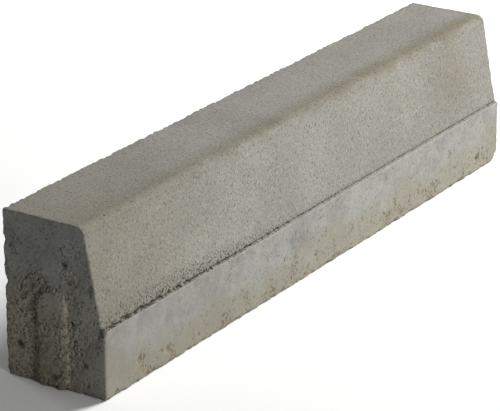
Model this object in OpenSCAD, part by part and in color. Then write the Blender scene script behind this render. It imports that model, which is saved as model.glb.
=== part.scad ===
// Precast concrete kerb stone with a battered face, a ledge and interlocking ends.
// The stone lies along X, its road face looks towards -Y and it stands on z = 0.
// The origin is under the middle of its bounding box.

/* [Body] */
// Length between the two end faces
body_l = 1000; // [300:10:1200]
// Width of the bed
base_w = 150; // [120:1:250]
// Height from the bed to the top face
height = 220; // [180:5:350]

/* [Road face] */
// Height of the battered part, from the ledge up to the top face
batter_h = 130; // [60:5:150]
// How far the batter leans back, from the ledge to the line of the top face
batter_run = 25; // [5:1:40]
// Width of the ledge between the upright band and the batter
ledge_w = 5; // [2:0.5:12]
// Fall of the ledge towards the road
ledge_fall = 1.5; // [0.5:0.5:4]
// Radius of the arris between the batter and the top face
arris_r = 12; // [5:1:30]

/* [Interlocking ends] */
// How far the tongue stands out of its end face
tongue_out = 6; // [4:0.5:12]
// Half width of the tongue where it meets the end face
tongue_root_r = 25; // [18:0.5:30]
// How far each flank slopes in, from the root of the tongue to its flat crest
tongue_flank = 8; // [2:0.5:9]
// Height of the tongue's arched top above the bed
tongue_h = 134; // [70:1:160]
// Distance from the back of the stone to the middle of the tongue
tongue_from_back = 72; // [55:1:80]
// Clearance between a tongue and the groove of the next stone, on every side
joint_gap = 2; // [1:0.5:4]

/* [Hidden] */
concrete = "#a5a194";
arc_fn = 96;   // facets of the drawn arcs
overrun = 1;   // how far the groove's cutting shape runs past the faces that it opens

stone_l = body_l + tongue_out;
tongue_face_x = tongue_out - stone_l / 2;
groove_face_x = stone_l / 2;
front_y = -base_w / 2;
back_y = base_w / 2;
tongue_y = back_y - tongue_from_back;
tongue_spring_z = tongue_h - tongue_root_r;
tongue_crest_r = tongue_root_r - tongue_flank;
flank_slope = tongue_flank / tongue_out;

// Batter: its line runs from the inner edge of the ledge up to the level of the top face
batter_foot = [front_y + ledge_w, height - batter_h + ledge_fall];
batter_head = [batter_foot[0] + batter_run, height];
batter_rise = batter_head[1] - batter_foot[1];
batter_len = norm(batter_head - batter_foot);
function batter_y(z) = batter_foot[0] + batter_run * (z - batter_foot[1]) / batter_rise;

// Arris: the centre of its arc, and the two points where the arc runs into the flat faces
arris_z = height - arris_r;
arris_c = [batter_y(arris_z) + arris_r * batter_len / batter_rise, arris_z];
arris_on_top = [arris_c[0], height];
arris_on_batter = arris_c + arris_r / batter_len * [-batter_rise, batter_run];

// Cross-section of the stone: upright band, ledge, batter, round arris, flat top and upright back
module section() {
    polygon([
        [back_y, 0],
        [back_y, height],
        arris_on_top,
        arris_on_batter,
        batter_foot,
        [front_y, height - batter_h],
        [front_y, 0]
    ]);
    translate(arris_c)
        circle(r = arris_r, $fn = arc_fn);
}

// An upright key with an arched top and sloping flanks. It stands out of the plane x = 0
// towards -X, and it runs from foot_z up to an arch struck from the height spring_z.
module arched_key(out, root_r, crest_r, foot_z, spring_z) {
    // upright shaft
    translate([0, 0, foot_z])
        linear_extrude(height = spring_z - foot_z)
            polygon([[0, -root_r], [0, root_r], [-out, crest_r], [-out, -crest_r]]);
    // arched top: the upper half of a flat cone
    intersection() {
        translate([0, 0, spring_z])
            rotate([0, -90, 0])
                cylinder(h = out, r1 = root_r, r2 = crest_r, $fn = arc_fn);
        translate([-out, -root_r, spring_z])
            cube([out, 2 * root_r, root_r]);
    }
}

// The tongue, which enters the groove of the next stone
module tongue() {
    translate([tongue_face_x, tongue_y, 0])
        arched_key(tongue_out, tongue_root_r, tongue_crest_r, 0, tongue_spring_z);
}

// The groove clears a tongue by the joint gap at its crest, at its flanks and over its arch
module groove() {
    groove_in = tongue_out + joint_gap;
    face_r = tongue_root_r + joint_gap;
    translate([groove_face_x + overrun, tongue_y, 0])
        arched_key(
            groove_in + overrun,
            face_r + flank_slope * overrun,
            face_r - flank_slope * groove_in,
            -overrun,
            tongue_spring_z
        );
}

// The whole stone, pressed in one piece
module kerb_stone() {
    color(concrete) {
        difference() {
            translate([tongue_face_x, 0, 0])
                rotate([90, 0, 90])
                    linear_extrude(height = body_l)
                        section();
            groove();
        }
        tongue();
    }
}

kerb_stone();
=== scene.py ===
import math
import random

import bmesh
import bpy
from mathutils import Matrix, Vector, noise


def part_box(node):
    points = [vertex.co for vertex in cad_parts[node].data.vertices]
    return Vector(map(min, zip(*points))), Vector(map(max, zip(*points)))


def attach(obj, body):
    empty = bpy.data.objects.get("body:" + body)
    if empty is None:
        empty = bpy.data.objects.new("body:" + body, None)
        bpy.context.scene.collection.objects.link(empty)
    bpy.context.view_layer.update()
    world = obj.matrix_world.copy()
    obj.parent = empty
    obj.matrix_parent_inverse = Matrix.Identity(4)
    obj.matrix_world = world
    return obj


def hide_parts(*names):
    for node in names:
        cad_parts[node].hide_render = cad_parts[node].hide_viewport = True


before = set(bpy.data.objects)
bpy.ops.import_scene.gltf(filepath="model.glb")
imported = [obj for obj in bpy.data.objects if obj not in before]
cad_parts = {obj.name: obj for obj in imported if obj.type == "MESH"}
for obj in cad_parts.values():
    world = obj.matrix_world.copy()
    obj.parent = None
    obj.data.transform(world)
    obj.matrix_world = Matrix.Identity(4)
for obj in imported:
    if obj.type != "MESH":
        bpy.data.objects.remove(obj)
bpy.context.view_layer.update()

# ---------------------------------------------------------------------------------------------
# Kerb stone
# A precast kerb of earth-moist concrete, pressed and vibrated in a steel mould in one piece.
# The batter, arris and top are of fine sandy facing concrete, and the upright band under the
# ledge was struck against smooth steel. The ends tore a little as they came out of the mould.
# ---------------------------------------------------------------------------------------------
mm = 0.001
low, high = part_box("kerb_stone")
X = Vector((1, 0, 0))
Y = Vector((0, 1, 0))
Z = Vector((0, 0, 1))

tongue_out = 6 * mm
tongue_root_r = 25 * mm
tongue_flank = 8 * mm
tongue_h = 134 * mm
tongue_y = high.y - 72 * mm
joint_gap = 2 * mm
end_x = low.x + tongue_out
band_h = 90 * mm
ledge_w = 5 * mm
ledge_fall = 1.5 * mm
batter_run = 25 * mm
arris_r = 12 * mm

ledge_y = low.y + ledge_w
ledge_z = band_h + ledge_fall
arris_y = ledge_y + batter_run
batter_lean = math.atan2(batter_run, high.z - ledge_z)
arris_cut = arris_r * math.tan((math.pi / 2 - batter_lean) / 2)


def pick(kind, is_wanted):
    """In edit mode, selects the faces, edges or vertices that pass the test, and nothing else."""
    bpy.ops.mesh.select_mode(type={"faces": "FACE", "edges": "EDGE", "verts": "VERT"}[kind])
    bpy.ops.mesh.select_all(action="DESELECT")
    shell = bmesh.from_edit_mesh(bpy.context.edit_object.data)
    for part in getattr(shell, kind):
        if is_wanted(part):
            part.select_set(True)
    shell.select_flush_mode()
    bmesh.update_edit_mesh(bpy.context.edit_object.data)


def near(a, b):
    return abs(a - b) < 0.02 * mm


# The body starts as a block that is cut level at the ledge. Its front is pushed back above that
bpy.ops.object.select_all(action="DESELECT")
bpy.ops.mesh.primitive_cube_add(
    size=1,
    location=((end_x + high.x) / 2, (low.y + high.y) / 2, (low.z + high.z) / 2),
    scale=(high.x - end_x, high.y - low.y, high.z - low.z),
)
stone = bpy.context.object
stone.name = "pressed_kerb_stone"
bpy.ops.object.transform_apply(location=True, rotation=True, scale=True)
bpy.ops.object.mode_set(mode="EDIT")
for cut_z in (band_h, ledge_z):
    bpy.ops.mesh.select_all(action="SELECT")
    bpy.ops.mesh.bisect(plane_co=Z * cut_z, plane_no=Z)
pick("verts", lambda v: near(v.co.y, low.y) and v.co.z > ledge_z - 0.1 * mm)
bpy.ops.transform.translate(value=Y * ledge_w)
pick("verts", lambda v: near(v.co.y, ledge_y) and near(v.co.z, high.z))
bpy.ops.transform.translate(value=Y * batter_run)
pick("edges", lambda e: all(near(v.co.y, arris_y) and near(v.co.z, high.z) for v in e.verts))
bpy.ops.mesh.bevel(offset=arris_cut, segments=8, profile=0.5, affect="EDGES")
bpy.ops.object.mode_set(mode="OBJECT")


def arched_key(face_x, out, root_r, crest_r, run_in, foot_z, spring_z):
    """An upright key with an arched top. It stands out of the end face at face_x towards -X."""
    slope = (root_r - crest_r) / out
    bpy.ops.object.select_all(action="DESELECT")
    bpy.ops.mesh.primitive_cone_add(
        vertices=48,
        radius1=root_r + slope * run_in,
        radius2=crest_r,
        depth=out + run_in,
        location=(face_x + (run_in - out) / 2, tongue_y, spring_z),
        rotation=(0, -math.pi / 2, 0),
    )
    key = bpy.context.object
    bpy.ops.object.transform_apply(location=True, rotation=True, scale=True)
    bpy.ops.object.mode_set(mode="EDIT")
    bpy.ops.mesh.select_all(action="SELECT")
    bpy.ops.mesh.bisect(plane_co=Z * spring_z, plane_no=Z, clear_inner=True, use_fill=True)
    pick("faces", lambda f: f.normal.z < -0.9)
    bpy.ops.mesh.extrude_region_move(TRANSFORM_OT_translate={"value": Z * (foot_z - spring_z)})
    bpy.ops.mesh.select_all(action="SELECT")
    bpy.ops.mesh.normals_make_consistent(inside=False)
    bpy.ops.object.mode_set(mode="OBJECT")
    return key


def combine(piece, other, operation):
    modifier = piece.modifiers.new("combine", "BOOLEAN")
    modifier.operation = operation
    modifier.solver = "EXACT"
    modifier.object = other
    bpy.context.view_layer.objects.active = piece
    bpy.ops.object.modifier_apply(modifier=modifier.name)
    bpy.data.objects.remove(other)


spring_z = tongue_h - tongue_root_r
flank_slope = tongue_flank / tongue_out
run_in = 1 * mm
tongue = arched_key(
    end_x, tongue_out, tongue_root_r, tongue_root_r - tongue_flank, run_in, low.z, spring_z
)
combine(stone, tongue, "UNION")
groove_in = tongue_out + joint_gap
groove_root_r = tongue_root_r + joint_gap
groove = arched_key(
    high.x,
    groove_in,
    groove_root_r,
    groove_root_r - flank_slope * groove_in,
    run_in,
    low.z - run_in,
    spring_z,
)
combine(stone, groove, "DIFFERENCE")

# The corners come out of the mould a little blunt
bpy.ops.object.select_all(action="DESELECT")
stone.select_set(True)
bpy.context.view_layer.objects.active = stone
bpy.ops.object.mode_set(mode="EDIT")
bpy.ops.mesh.select_all(action="SELECT")
bpy.ops.mesh.remove_doubles(threshold=0.01 * mm)
bpy.ops.mesh.dissolve_limited(angle_limit=math.radians(1))
bpy.ops.mesh.normals_make_consistent(inside=False)
blunt_angle = math.radians(40)
pick("edges", lambda e: e.is_manifold and e.calc_face_angle_signed() > blunt_angle)
bpy.ops.mesh.bevel(offset=1.1 * mm, segments=2, profile=0.5, affect="EDGES", clamp_overlap=True)


def slice_faces(is_wanted, axis, places):
    """Cuts the faces that pass the test along planes across the axis, to give relief its mesh."""
    pick("faces", is_wanted)
    bpy.ops.mesh.hide(unselected=True)
    for place in places:
        bpy.ops.mesh.select_all(action="SELECT")
        bpy.ops.mesh.bisect(plane_co=axis * place, plane_no=axis)
    bpy.ops.mesh.reveal(select=False)


def steps(start, stop, step):
    count = max(1, round((stop - start) / step))
    return [start + (stop - start) * (i + 0.5) / count for i in range(count)]


def on_end(face):
    return abs(face.normal.x) > 0.5


# Rows are closest at the bed, at the ledge and at the honeycomb above it
rows = (
    steps(low.z, 24 * mm, 2.2 * mm)
    + steps(24 * mm, 82 * mm, 5 * mm)
    + steps(82 * mm, ledge_z + 22 * mm, 1.5 * mm)
    + steps(ledge_z + 22 * mm, high.z, 5.5 * mm)
)
slice_faces(lambda f: not on_end(f) and f.normal.y < -0.5, Z, rows)
slice_faces(lambda f: not on_end(f) and f.normal.y > 0.5, Z, steps(low.z, high.z, 9 * mm))
slice_faces(lambda f: f.normal.z > 0.9, Y, steps(-32 * mm, high.y, 6.5 * mm))
slice_faces(lambda f: f.normal.z < -0.9, Y, steps(low.y, high.y, 9 * mm))
slice_faces(lambda f: not on_end(f), X, steps(end_x, high.x, 2.1 * mm))
slice_faces(lambda f: f.normal.x < -0.5, Y, steps(low.y, high.y, 1.5 * mm))
slice_faces(lambda f: f.normal.x < -0.5, Z, steps(low.z, high.z, 1.5 * mm))
slice_faces(lambda f: f.normal.x > 0.5, Y, steps(low.y, high.y, 2.6 * mm))
slice_faces(lambda f: f.normal.x > 0.5, Z, steps(low.z, high.z, 2.6 * mm))
bpy.ops.mesh.select_all(action="SELECT")
bpy.ops.mesh.remove_doubles(threshold=0.1 * mm)
bpy.ops.mesh.dissolve_degenerate(threshold=0.05 * mm)
bpy.ops.mesh.quads_convert_to_tris()
bpy.ops.mesh.beautify_fill(angle_limit=math.radians(1))
bpy.ops.object.mode_set(mode="OBJECT")

# The stone's faces, the ledge's inner corner and the top of the tongue's arch, in millimetres, to
# place the relief by
crest_x = round(low.x / mm)
tongue_x = round(end_x / mm)
groove_x = round(high.x / mm)
front_y = round(low.y / mm)
back_y = round(high.y / mm)
top_z = round(high.z / mm)
band_top = round(band_h / mm)
corner_y = round(ledge_y / mm)
corner_z = round(ledge_z / mm, 1)
arch_z = round(tongue_h / mm)

# Larger pits and broken spots: place, radius and depth in millimetres
pits = [
    ((tongue_x, -15, 165), 6, 3.4),
    ((tongue_x, -25, 90), 4, 5.0),
    ((tongue_x, 55, 45), 7, 3.0),
    ((tongue_x, -45, 40), 5, 2.4),
    ((crest_x, 0, 15), 6, 2.6),
    ((tongue_x, 65, 175), 4, 2.0),
    ((tongue_x, back_y, 180), 6, 2.6),
    ((tongue_x, back_y, 125), 7, 3.4),
    ((tongue_x, -72, 90), 6, 3.4),
    ((-425, front_y, 30), 6, 1.6),
    ((-365, front_y, 20), 6, 1.8),
    ((440, front_y, 22), 7, 1.9),
    ((groove_x, front_y, 0), 12, 8.0),
]
# Small ones, scattered: how many, from and to in x, in y and in z, largest radius, largest depth
random.seed(22)
for count, xs, ys, zs, radius, depth in (
    (90, (-490, 495), (front_y, front_y), (2, 50), 2.8, 1.2),
    (34, (434, 484), (front_y, front_y), (8, 36), 3.0, 1.7),
    (160, (tongue_x, tongue_x), (-70, 73), (3, 150), 2.8, 1.9),
    (30, (tongue_x, tongue_x), (-48, -26), (35, 100), 2.8, 2.6),
    (90, (groove_x, groove_x), (-70, 73), (3, 205), 3.5, 1.6),
    (120, (-490, 495), (back_y, back_y), (3, 215), 6.0, 1.6),
):
    for _ in range(count):
        spot = (random.uniform(*xs), random.uniform(*ys), random.triangular(*zs, zs[0]))
        pits.append((spot, random.uniform(0.5, 1) * radius, random.uniform(0.3, 1) * depth))
# Pits are looked up by cells of 20 mm, which is further than any of them reaches
cell = 20
pit_cells = {}
for spot, radius, depth in pits:
    for dx in (-1, 0, 1):
        for dy in (-1, 0, 1):
            for dz in (-1, 0, 1):
                key = (int(spot[0] // cell) + dx, int(spot[1] // cell) + dy, int(spot[2] // cell) + dz)
                pit_cells.setdefault(key, []).append((Vector(spot), radius, depth))


def lumps(p, size, seed):
    """Noise from -1 to 1 with lumps and gaps of about that size in millimetres, taken together."""
    return noise.noise(p / size + Vector((seed, 0, 0)))


def fade(value, full, none):
    """1 where value has reached full, 0 where it has reached none, and a ramp between."""
    return min(1, max(0, (value - none) / (full - none)))


def relief(p, n):
    """How deep the surface lies under the mould's face, in millimetres, at a point given in them."""
    along = fade(p.x, -500, 150)
    end_gap = min(p.x - tongue_x, groove_x - p.x)
    depth = 0.14 + 0.1 * lumps(p, 45, 3)
    end = 1 if abs(n.x) > 0.5 else fade(end_gap, 0, 3)
    if end > 0:
        # torn where the mould's end plate pulled away, worst in a belt round the top of the tongue
        belt = 0.5 * fade(abs(p.z - arch_z - 9), 0, 32) + 0.25 * fade(p.z, 70, 150)
        slanted = Vector((p.x, p.y + 0.8 * p.z, 0.4 * p.z))
        torn = fade(lumps(p, 34, 11) + belt, 0.5, 0.0)
        rough = 0.4 + 0.4 * lumps(p, 4, 5) + 0.3 * lumps(p, 11, 18)
        rough += torn * (3.2 * max(0, lumps(slanted, 6, 7)) + 2.4 * max(0, lumps(p, 4, 19)))
        if crest_x + 0.5 < p.x < tongue_x - 0.5:
            # the tongue's flank, with upright notches round the top of the arch
            notches = max(0, math.sin(1.35 * p.y + 1.5 * lumps(p, 12, 21)))
            notches *= fade(p.z, arch_z - 12, arch_z - 24)
            rough += 1.4 * max(0, lumps(p, 5, 17) + 0.1) + 1.3 * notches
        depth += end * rough
    elif n.y > 0.5 or n.z < -0.5:
        depth += 0.3 + 0.3 * lumps(p, 9, 6) + 1.2 * max(0, lumps(p, 14, 8) - 0.25)
    # the bed's edges, which rested on the pallet
    ragged = 1.1 + 2.6 * lumps(p, 13, 1) + 2.4 * lumps(p, 5, 2)
    depth += fade(p.z, 0, 6) * max(0, ragged)
    # the back's upper arris and the upright corners
    edge = min(math.hypot(p.y - back_y, p.z - top_z), math.hypot(end_gap, p.y - back_y))
    depth += fade(edge, 0, 4) * max(0, 0.9 + 2.6 * lumps(p, 6, 4) + 1.0 * lumps(p, 18, 20))
    if p.z < band_top:
        corner = math.hypot(end_gap, p.y - front_y)
        depth += fade(corner, 0, 3) * max(0, 0.25 + 1.0 * lumps(p, 5, 9))
    # the ledge's inner corner, torn most towards the tongue
    ledge = math.hypot(p.y - corner_y, p.z - corner_z)
    tear = max(0, 0.1 + 1.8 * lumps(p, 5, 12) + 1.2 * lumps(p, 16, 13))
    depth += fade(ledge, 0.8, 2.6 + 2.6 * along) * tear * (0.4 + 1.7 * along)
    # honeycomb above the ledge
    if n.y < -0.5 and corner_z + 0.5 < p.z < corner_z + 24.5:
        open_pores = fade(p.z, corner_z + 1.5, corner_z + 6.5 + 14 * along)
        open_pores *= fade(lumps(p, 30, 14) + along, 0.8, 0.0)
        depth += open_pores * 1.8 * max(0, lumps(p, 4.2, 15))
    for spot, radius, pit_depth in pit_cells.get(tuple(int(c // cell) for c in p), ()):
        reach = (p - spot).length / radius + 0.4 * lumps(p, 3, 16)
        if reach < 1:
            depth += pit_depth * (1 - reach * reach)
    return depth


# Every point sinks straight towards a box deep inside, so the surface never crosses itself. Each
# axis and sense has its own weights, and "hollow" keeps the depth for the materials, which darken the
# hollows with it as painted shade.
core_low = Vector((-470, -20, 30))
core_high = Vector((476, 50, 190))
deepest = 12
sinks = [axis + sense for axis in "XYZ" for sense in "+-"]
for sink in sinks:
    stone.vertex_groups.new(name=sink)
hollows = []
for vertex in stone.data.vertices:
    place = vertex.co / mm
    depth = max(0, relief(place, vertex.normal))
    hollows.append(min(1, max(0, depth - 0.7) / 2.5))
    inward = Vector(min(max(c, a), b) for c, a, b in zip(place, core_low, core_high)) - place
    push = inward.normalized() * min(1, depth / deepest)
    for axis, share in zip("XYZ", push):
        if share:
            sink = stone.vertex_groups[axis + ("+" if share > 0 else "-")]
            sink.add([vertex.index], abs(share), "REPLACE")
hollow = stone.data.attributes.new("hollow", "FLOAT", "POINT")
hollow.data.foreach_set("value", hollows)
for sink in sinks:
    wear = stone.modifiers.new("wear", "DISPLACE")
    wear.vertex_group = sink
    wear.direction = sink[0]
    wear.mid_level = 0
    wear.strength = deepest * mm if sink[1] == "+" else -deepest * mm
    bpy.ops.object.modifier_apply(modifier=wear.name)
bpy.ops.object.shade_smooth_by_angle(angle=math.radians(38))


def linear(hex_colour):
    """An sRGB hex colour as linear RGBA."""
    parts = [int(hex_colour[i : i + 2], 16) / 255 for i in (1, 3, 5)]
    return tuple(c / 12.92 if c <= 0.04045 else ((c + 0.055) / 1.055) ** 2.4 for c in parts) + (1,)


def node(tree, kind, wires=None, out=0, **settings):
    """Adds a node. An input takes a value or another node's output, and one output is returned."""
    made = tree.nodes.new("ShaderNode" + kind)
    for name, value in settings.items():
        setattr(made, name, value)
    for key, value in (wires or {}).items():
        if isinstance(value, bpy.types.NodeSocket):
            tree.links.new(value, made.inputs[key])
        else:
            made.inputs[key].default_value = value
    return made.outputs[out]


def matt(name, roughness):
    """A new matt material, its node tree and its shader."""
    material = bpy.data.materials.new(name)
    material.use_nodes = True
    shader = material.node_tree.nodes["Principled BSDF"]
    shader.inputs["Roughness"].default_value = roughness
    shader.inputs["Specular IOR Level"].default_value = 0.25
    return material, material.node_tree, shader


# Settings that recur: noise whose W is its seed, a smooth step, a mix of two colours, a product.
# Inputs go by number. MapRange takes 0 from the range 1 to 2 into the range 3 to 4, which is 0 to 1
# where none is given, and Mix goes from colour 6 to colour 7 by the share 0.
seeded = {"noise_dimensions": "4D"}
smooth = {"interpolation_type": "SMOOTHSTEP"}
mixed = {"out": 2, "data_type": "RGBA"}
product = {"operation": "MULTIPLY"}

# Facing concrete, pressed: a dry face of sharp sand, grey with faint warm clouds. Its grains are
# drawn at 1.2 to 2 mm, a little coarser than the sand, so that they show.
facing, tree, shader = matt("pressed_sandy_facing_concrete", 0.92)
place = node(tree, "TexCoord", out="Object")
x, y, z = node(tree, "SeparateXYZ", {0: place}).node.outputs
hollow = node(tree, "Attribute", out="Fac", attribute_name="hollow")
sand = node(tree, "TexNoise", {"Vector": place, "Scale": 0.5 / (1.2 * mm), "Detail": 2, "W": 1}, **seeded)
grit = node(tree, "TexNoise", {"Vector": place, "Scale": 0.5 / (2 * mm), "Detail": 2, "W": 2}, **seeded)
specks = node(tree, "TexNoise", {"Vector": place, "Scale": 0.5 / (1.5 * mm), "Detail": 1, "W": 3}, **seeded)
clouds = node(tree, "TexNoise", {"Vector": place, "Scale": 0.5 / (45 * mm), "Detail": 3, "W": 4}, **seeded)
warmth = node(tree, "TexNoise", {"Vector": place, "Scale": 0.5 / (22 * mm), "Detail": 3, "W": 5}, **seeded)
share = node(tree, "MapRange", {0: clouds, 1: 0.35, 2: 0.65}, **smooth)
colour = node(tree, "Mix", {0: share, 6: linear("#7f7d76"), 7: linear("#88867f")}, **mixed)
share = node(tree, "MapRange", {0: warmth, 1: 0.48, 2: 0.72, 4: 0.3}, **smooth)
colour = node(tree, "Mix", {0: share, 6: colour, 7: linear("#837e6e")}, **mixed)
share = node(tree, "MapRange", {0: sand, 1: 0.48, 2: 0.75, 4: 0.6}, **smooth)
colour = node(tree, "Mix", {0: share, 6: colour, 7: linear("#a3a097")}, **mixed)
share = node(tree, "MapRange", {0: grit, 1: 0.48, 2: 0.28, 4: 0.6}, **smooth)
colour = node(tree, "Mix", {0: share, 6: colour, 7: linear("#5b584d")}, **mixed)
share = node(tree, "MapRange", {0: specks, 1: 0.6, 2: 0.72, 4: 0.7}, **smooth)
colour = node(tree, "Mix", {0: share, 6: colour, 7: linear("#4a4437")}, **mixed)

# Water has left a soft brown stain on the upper side of the arris, weakest at the tongue end
wander = node(tree, "TexNoise", {"Vector": place, "Scale": 0.5 / (14 * mm), "Detail": 3, "W": 6}, **seeded)
wander = node(tree, "Math", {0: wander, 1: 16 * mm, 2: -8 * mm}, operation="MULTIPLY_ADD")
across = node(tree, "Math", {0: y, 1: wander})
rise = node(tree, "MapRange", {0: across, 1: arris_y - 4 * mm, 2: arris_y + 4 * mm}, **smooth)
fall = node(tree, "MapRange", {0: across, 1: arris_y + 43 * mm, 2: arris_y + 7 * mm}, **smooth)
stain = node(tree, "Math", {0: rise, 1: fall}, **product)
share = node(tree, "MapRange", {0: x, 1: -0.5, 2: -0.1, 3: 0.2, 4: 0.85}, **smooth)
stain = node(tree, "Math", {0: stain, 1: share}, **product)
share = node(tree, "MapRange", {0: warmth, 1: 0.3, 2: 0.6, 3: 0.65, 4: 1.0}, **smooth)
stain = node(tree, "Math", {0: stain, 1: share}, **product)
upper = node(tree, "MapRange", {0: z, 1: high.z - 25 * mm, 2: high.z - 10 * mm}, **smooth)
stain = node(tree, "Math", {0: stain, 1: upper}, **product)
colour = node(tree, "Mix", {0: stain, 6: colour, 7: linear("#ddd5c2")}, blend_type="MULTIPLY", **mixed)

# A warm patch low on the batter towards the groove end
reach = node(tree, "VectorMath", {0: place, 1: (0.385, -0.055, 0.15)}, out="Value", operation="DISTANCE")
share = node(tree, "MapRange", {0: reach, 1: 0.09, 2: 0.0, 4: 0.5}, **smooth)
colour = node(tree, "Mix", {0: share, 6: colour, 7: linear("#e2d6c4")}, blend_type="MULTIPLY", **mixed)

# The facing is a little darker towards the tongue end, painted shade for the light that falls off towards
# that end
share = node(tree, "MapRange", {0: x, 1: -0.15, 2: -0.5, 4: 0.75}, **smooth)
colour = node(tree, "Mix", {0: share, 6: colour, 7: linear("#e8e3d9")}, blend_type="MULTIPLY", **mixed)

# Honeycomb over the ledge: open pores between the grains, reaching highest at the tongue end, with painted
# shade in the pores
nearness = node(tree, "MapRange", {0: x, 1: 0.1, 2: -0.5}, **smooth)
top = node(tree, "Math", {0: nearness, 1: 22 * mm, 2: ledge_z + 7.5 * mm}, operation="MULTIPLY_ADD")
drift = node(tree, "Math", {0: clouds, 1: 20 * mm, 2: -10 * mm}, operation="MULTIPLY_ADD")
top = node(tree, "Math", {0: top, 1: drift})
gap = node(tree, "Math", {0: top, 1: z}, operation="SUBTRACT")
zone = node(tree, "MapRange", {0: gap, 1: -2 * mm, 2: 17 * mm}, **smooth)
pores = node(tree, "TexNoise", {"Vector": place, "Scale": 0.5 / (1.4 * mm), "Detail": 2, "W": 7}, **seeded)
pores = node(tree, "MapRange", {0: pores, 1: 0.5, 2: 0.66}, **smooth)
pores = node(tree, "Math", {0: pores, 1: zone}, **product)
share = node(tree, "Math", {0: pores, 1: 0.85}, **product)
colour = node(tree, "Mix", {0: share, 6: colour, 7: linear("#3d3930")}, **mixed)

# A dark line in the corner of the ledge, painted shade in the crevice there
depth = node(tree, "TexNoise", {"Vector": place, "Scale": 0.5 / (2.5 * mm), "Detail": 2, "W": 8}, **seeded)
depth = node(tree, "Math", {0: depth, 1: 0.5}, operation="SUBTRACT")
waver = node(tree, "Math", {0: nearness, 1: 5 * mm, 2: 1.8 * mm}, operation="MULTIPLY_ADD")
depth = node(tree, "Math", {0: depth, 1: waver}, **product)
height = node(tree, "Math", {0: z, 1: -ledge_z - 0.4 * mm})
height = node(tree, "Math", {0: height}, operation="ABSOLUTE")
height = node(tree, "Math", {0: height, 1: depth})
thick = node(tree, "Math", {0: nearness, 1: 0.5 * mm, 2: 0.7 * mm}, operation="MULTIPLY_ADD")
gap = node(tree, "Math", {0: thick, 1: height}, operation="SUBTRACT")
share = node(tree, "MapRange", {0: gap, 1: -0.1 * mm, 2: 0.7 * mm, 4: 0.9}, **smooth)
colour = node(tree, "Mix", {0: share, 6: colour, 7: linear("#2c2822")}, **mixed)
# Painted shade in the relief's hollows, the deeper the darker
share = node(tree, "Math", {0: hollow, 1: 0.7}, **product)
colour = node(tree, "Mix", {0: share, 6: colour, 7: linear("#4c463a")}, **mixed)
tree.links.new(colour, shader.inputs["Base Color"])
normal = node(tree, "Bump", {"Height": sand, "Distance": 0.6 * mm, "Strength": 0.7})
normal = node(tree, "Bump", {"Height": grit, "Distance": 1.0 * mm, "Strength": 0.5, "Normal": normal})
normal = node(
    tree, "Bump", {"Height": pores, "Distance": 1.2 * mm, "Strength": 0.8, "Normal": normal}, invert=True
)
tree.links.new(normal, shader.inputs["Normal"])

# Mould-struck band: paste closed against smooth steel, so finer, paler and bluer than the facing,
# with smudges of mould oil, faint upright streaks and a sandier beige foot. Its fine grain is drawn
# at 1.5 mm, coarser than the real one, so that it shows.
struck, tree, shader = matt("steel_mould_smooth_concrete", 0.75)
place = node(tree, "TexCoord", out="Object")
x, y, z = node(tree, "SeparateXYZ", {0: place}).node.outputs
hollow = node(tree, "Attribute", out="Fac", attribute_name="hollow")
skin = node(tree, "TexNoise", {"Vector": place, "Scale": 0.5 / (28 * mm), "Detail": 4, "W": 11}, **seeded)
drawn = node(tree, "Mapping", {0: place, 3: (1, 1, 0.2)})
streaks = node(tree, "TexNoise", {"Vector": drawn, "Scale": 0.5 / (3 * mm), "Detail": 3, "W": 12}, **seeded)
fine = node(tree, "TexNoise", {"Vector": place, "Scale": 0.5 / (1.5 * mm), "Detail": 2, "W": 13}, **seeded)
holes = node(tree, "TexNoise", {"Vector": place, "Scale": 0.5 / (2.2 * mm), "Detail": 1, "W": 14}, **seeded)
smudge = node(tree, "TexNoise", {"Vector": place, "Scale": 0.5 / (20 * mm), "Detail": 3, "W": 15}, **seeded)
cluster = node(tree, "TexNoise", {"Vector": place, "Scale": 0.5 / (9 * mm), "Detail": 4, "W": 17}, **seeded)
share = node(tree, "MapRange", {0: skin, 1: 0.35, 2: 0.65}, **smooth)
colour = node(tree, "Mix", {0: share, 6: linear("#84837e"), 7: linear("#91918c")}, **mixed)
share = node(tree, "MapRange", {0: smudge, 1: 0.53, 2: 0.7, 4: 0.5}, **smooth)
colour = node(tree, "Mix", {0: share, 6: colour, 7: linear("#74747a")}, **mixed)

# One larger smudge lies near the middle
wide = node(tree, "Mapping", {0: place, 3: (0.6, 1, 1)})
reach = node(tree, "VectorMath", {0: wide, 1: (-0.037, -0.075, 0.062)}, out="Value", operation="DISTANCE")
wander = node(tree, "Math", {0: skin, 1: 30 * mm, 2: -15 * mm}, operation="MULTIPLY_ADD")
reach = node(tree, "Math", {0: reach, 1: wander})
share = node(tree, "MapRange", {0: reach, 1: 24 * mm, 2: 6 * mm, 4: 0.55}, **smooth)
colour = node(tree, "Mix", {0: share, 6: colour, 7: linear("#6d6d74")}, **mixed)

# Over the smudges come the streaks, a fine mottle and the beige foot
share = node(tree, "MapRange", {0: streaks, 1: 0.52, 2: 0.72, 4: 0.14}, **smooth)
colour = node(tree, "Mix", {0: share, 6: colour, 7: linear("#a09f99")}, **mixed)
mottle = node(tree, "TexNoise", {"Vector": place, "Scale": 0.5 / (6 * mm), "Detail": 4, "W": 16}, **seeded)
share = node(tree, "MapRange", {0: mottle, 1: 0.45, 2: 0.7, 4: 0.5}, **smooth)
colour = node(tree, "Mix", {0: share, 6: colour, 7: linear("#a09c91")}, **mixed)
drift = node(tree, "Math", {0: skin, 1: 150 * mm, 2: -75 * mm}, operation="MULTIPLY_ADD")
foot = node(tree, "Math", {0: z, 1: drift})
foot = node(tree, "MapRange", {0: foot, 1: 75 * mm, 2: 15 * mm}, **smooth)
share = node(tree, "Math", {0: foot, 1: 0.75}, **product)
colour = node(tree, "Mix", {0: share, 6: colour, 7: linear("#8b8676")}, **mixed)
share = node(tree, "MapRange", {0: fine, 1: 0.47, 2: 0.28, 4: 0.7}, **smooth)
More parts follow.
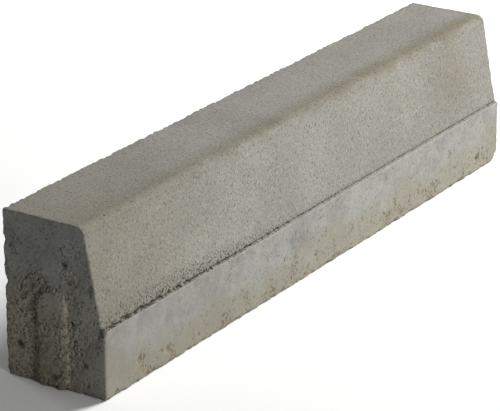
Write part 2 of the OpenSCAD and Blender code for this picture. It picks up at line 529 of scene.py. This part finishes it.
sandier = node(tree, "MapRange", {0: x, 1: -0.45, 2: -0.1, 3: 0.35, 4: 1.0}, **smooth)
share = node(tree, "Math", {0: share, 1: sandier}, **product)
colour = node(tree, "Mix", {0: share, 6: colour, 7: linear("#57534a")}, **mixed)

# The band is a little darker towards the tongue end too, painted shade like the facing's
share = node(tree, "MapRange", {0: x, 1: 0.2, 2: -0.5}, **smooth)
colour = node(tree, "Mix", {0: share, 6: colour, 7: linear("#ecebea")}, blend_type="MULTIPLY", **mixed)

# Brown pockmarks lie in clusters, mostly low down
low_down = node(tree, "MapRange", {0: z, 1: 65 * mm, 2: 15 * mm, 3: -0.13, 4: 0.0}, **smooth)
cluster = node(tree, "Math", {0: cluster, 1: low_down})
cluster = node(tree, "MapRange", {0: cluster, 1: 0.5, 2: 0.62}, **smooth)
# Painted shade in the pockmarks' holes and in the relief's hollows
holes = node(tree, "MapRange", {0: holes, 1: 0.46, 2: 0.6}, **smooth)
holes = node(tree, "Math", {0: holes, 1: cluster}, **product)
share = node(tree, "Math", {0: cluster, 1: 0.35}, **product)
colour = node(tree, "Mix", {0: share, 6: colour, 7: linear("#857d69")}, **mixed)
holes = node(tree, "Math", {0: holes, 1: hollow}, operation="MAXIMUM")
share = node(tree, "Math", {0: holes, 1: 0.7}, **product)
colour = node(tree, "Mix", {0: share, 6: colour, 7: linear("#554c3b")}, **mixed)
tree.links.new(colour, shader.inputs["Base Color"])
normal = node(tree, "Bump", {"Height": fine, "Distance": 0.3 * mm, "Strength": 0.45})
normal = node(
    tree, "Bump", {"Height": holes, "Distance": 0.8 * mm, "Strength": 0.6, "Normal": normal}, invert=True
)
tree.links.new(normal, shader.inputs["Normal"])

# Torn body concrete of the ends, the back and the bed: smoother and bluish above, coarser, brown
# with damp and full of fine dark pits below, with pale sand where the paste has pulled away. The
# sand is drawn at 1.3 mm and the pinholes at 1.6 mm, a little coarse, so that they show.
torn, tree, shader = matt("torn_body_concrete", 0.95)
place = node(tree, "TexCoord", out="Object")
x, y, z = node(tree, "SeparateXYZ", {0: place}).node.outputs
hollow = node(tree, "Attribute", out="Fac", attribute_name="hollow")
body = node(tree, "TexNoise", {"Vector": place, "Scale": 0.5 / (18 * mm), "Detail": 4, "W": 21}, **seeded)
gravel = node(tree, "TexNoise", {"Vector": place, "Scale": 0.5 / (2.4 * mm), "Detail": 3, "W": 22}, **seeded)
dust = node(tree, "TexNoise", {"Vector": place, "Scale": 0.5 / (1.3 * mm), "Detail": 2, "W": 23}, **seeded)
patch = node(tree, "TexNoise", {"Vector": place, "Scale": 0.5 / (13 * mm), "Detail": 3, "W": 25}, **seeded)
holes = node(tree, "TexNoise", {"Vector": place, "Scale": 0.5 / (1.6 * mm), "Detail": 1, "W": 24}, **seeded)

# How open the surface is, from closed paste at 0 to torn grains at 1
lower = node(tree, "MapRange", {0: z, 1: 0.175, 2: 0.12, 3: -0.1, 4: 0.0}, **smooth)
patch = node(tree, "Math", {0: patch, 1: lower})
front = node(tree, "MapRange", {0: y, 1: -25 * mm, 2: -55 * mm, 4: -0.12}, **smooth)
patch = node(tree, "Math", {0: patch, 1: front})
opened = node(tree, "MapRange", {0: patch, 1: 0.38, 2: 0.56, 3: 0.3, 4: 1.0}, **smooth)

# Grey paste, its grey darkened in part as painted shade so that the tongue end reads as shaded; brown with
# damp low down, mostly near the tongue end and away from the road
share = node(tree, "MapRange", {0: body, 1: 0.35, 2: 0.65}, **smooth)
colour = node(tree, "Mix", {0: share, 6: linear("#5c5d5a"), 7: linear("#6c6d68")}, **mixed)
drift = node(tree, "Math", {0: body, 1: 90 * mm, 2: -45 * mm}, operation="MULTIPLY_ADD")
level = node(tree, "Math", {0: z, 1: drift})
damp = node(tree, "MapRange", {0: level, 1: 0.17, 2: 0.06, 4: 0.6}, **smooth)
inland = node(tree, "MapRange", {0: y, 1: -60 * mm, 2: -15 * mm, 3: 0.3, 4: 1.0}, **smooth)
nearby = node(tree, "MapRange", {0: x, 1: -0.35, 2: -0.48, 3: 0.4, 4: 1.0}, **smooth)
damp = node(tree, "Math", {0: damp, 1: nearby}, **product)
share = node(tree, "Math", {0: damp, 1: inland}, **product)
colour = node(tree, "Mix", {0: share, 6: colour, 7: linear("#756d5a")}, **mixed)

# Low down on the tongue end, between the tongue and the back, the paste is paler
tongue_side = tongue_y + tongue_root_r
paler = node(tree, "MapRange", {0: y, 1: tongue_side + 1 * mm, 2: tongue_side + 5 * mm, 4: 0.7}, **smooth)
low_down = node(tree, "MapRange", {0: level, 1: 130 * mm, 2: 80 * mm}, **smooth)
paler = node(tree, "Math", {0: paler, 1: low_down}, **product)
share = node(tree, "Math", {0: paler, 1: nearby}, **product)
colour = node(tree, "Mix", {0: share, 6: colour, 7: linear("#827d6f")}, **mixed)

# Where the paste is open, pale sand shows, and painted shade darkens the gaps between the grains
share = node(tree, "MapRange", {0: dust, 1: 0.48, 2: 0.68, 4: 0.8}, **smooth)
share = node(tree, "Math", {0: share, 1: opened}, **product)
colour = node(tree, "Mix", {0: share, 6: colour, 7: linear("#908b79")}, **mixed)
share = node(tree, "MapRange", {0: gravel, 1: 0.5, 2: 0.32, 4: 0.4}, **smooth)
share = node(tree, "Math", {0: share, 1: opened}, **product)
colour = node(tree, "Mix", {0: share, 6: colour, 7: linear("#3c3933")}, **mixed)
# Painted shade in fine pinholes, more of them where the paste is open
more = node(tree, "Math", {0: opened, 1: 0.12, 2: -0.09}, operation="MULTIPLY_ADD")
pinholes = node(tree, "Math", {0: holes, 1: more})
pinholes = node(tree, "MapRange", {0: pinholes, 1: 0.58, 2: 0.7}, **smooth)
share = node(tree, "Math", {0: pinholes, 1: 0.5}, **product)
colour = node(tree, "Mix", {0: share, 6: colour, 7: linear("#1f1e19")}, **mixed)

# A rim of pale sand runs round the tongue's flank
outer = node(tree, "MapRange", {0: x, 1: end_x - 3.4 * mm, 2: end_x - 2.2 * mm}, **smooth)
inner = node(tree, "MapRange", {0: x, 1: end_x + 0.2 * mm, 2: end_x - 0.6 * mm}, **smooth)
rim = node(tree, "Math", {0: outer, 1: inner}, **product)
grains = node(tree, "MapRange", {0: gravel, 1: 0.42, 2: 0.58, 4: 0.9}, **smooth)
share = node(tree, "Math", {0: rim, 1: grains}, **product)
colour = node(tree, "Mix", {0: share, 6: colour, 7: linear("#8f8876")}, **mixed)
# Painted shade in the relief's hollows, the deeper the darker
share = node(tree, "Math", {0: hollow, 1: 0.7}, **product)
colour = node(tree, "Mix", {0: share, 6: colour, 7: linear("#24201c")}, **mixed)
tree.links.new(colour, shader.inputs["Base Color"])
strength = node(tree, "Math", {0: opened, 1: 0.9}, **product)
normal = node(tree, "Bump", {"Height": gravel, "Distance": 4 * mm, "Strength": strength})
normal = node(tree, "Bump", {"Height": dust, "Distance": 2 * mm, "Strength": strength, "Normal": normal})
normal = node(tree, "Bump", {"Height": pinholes, "Distance": 1.5 * mm, "Normal": normal}, invert=True)
tree.links.new(normal, shader.inputs["Normal"])

for material in (facing, struck, torn):
    stone.data.materials.append(material)
for face in stone.data.polygons:
    end_gap = min(face.center.x - end_x, high.x - face.center.x)
    at_end = end_gap < 0.9 * mm or abs(face.normal.x) > 0.72
    if at_end or face.normal.y > 0.6 or face.normal.z < -0.6:
        face.material_index = 2
    elif face.center.z < band_h + 0.4 * mm:
        face.material_index = 1

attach(stone, "root")
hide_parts("kerb_stone")

# ---------------------------------------------------------------------------------------------
# Floor
# A plain pale floor of matt studio paper. It lies under the bed and is wide enough to fill every
# view.
# ---------------------------------------------------------------------------------------------
bpy.ops.object.select_all(action="DESELECT")
bpy.ops.mesh.primitive_plane_add(size=60, location=(0, 0, 0))
floor = bpy.context.object
floor.name = "studio_floor"
paper, tree, shader = matt("pale_floor", 0.9)
shader.inputs["Base Color"].default_value = linear("#f4f4f3")
floor.data.materials.append(paper)

# ---------------------------------------------------------------------------------------------
# Light
# A large soft lamp high beyond the groove end, so that the tongue end is in its own shade, a
# weaker one far out on the road's side that rakes across the tongue end, a low one behind the
# stone that lifts its back, and an even sky
# ---------------------------------------------------------------------------------------------
sky = bpy.data.worlds.new("studio_sky")
sky.use_nodes = True
sky.node_tree.nodes["Background"].inputs["Color"].default_value = (1, 1, 1, 1)
sky.node_tree.nodes["Background"].inputs["Strength"].default_value = 0.15
bpy.context.scene.world = sky
for name, place, size, power in (
    ("key_lamp", (4.2, -1.5, 2.9), 1.9, 490),
    ("raking_lamp", (-2.8, -6, 1.7), 0.8, 165),
    ("back_lamp", (1.5, 7, 1.6), 2.0, 150),
):
    lamp = bpy.data.lights.new(name, "AREA")
    lamp.shape = "SQUARE"
    lamp.size = size
    lamp.energy = power
    holder = bpy.data.objects.new(name, lamp)
    holder.location = place
    holder.rotation_euler = (-Vector(place)).to_track_quat("-Z", "Y").to_euler()
    bpy.context.scene.collection.objects.link(holder)

# ---------------------------------------------------------------------------------------------
# Camera
# A long lens that looks down on the tongue end, the road face and the top. The stone fills the
# frame.
# ---------------------------------------------------------------------------------------------
lens = bpy.data.cameras.new("camera")
lens.lens = 195
lens.sensor_width = 36
lens.clip_end = 100
camera = bpy.data.objects.new("camera", lens)
camera.location = (-2.887, -1.825, 1.417)
turn = math.radians(32.85)
tilt = math.radians(21.45)
sight = Vector((math.cos(turn) * math.cos(tilt), math.sin(turn) * math.cos(tilt), -math.sin(tilt)))
camera.rotation_euler = sight.to_track_quat("-Z", "Y").to_euler()
bpy.context.scene.collection.objects.link(camera)
bpy.context.scene.camera = camera
bpy.context.scene.view_settings.view_transform = "Standard"
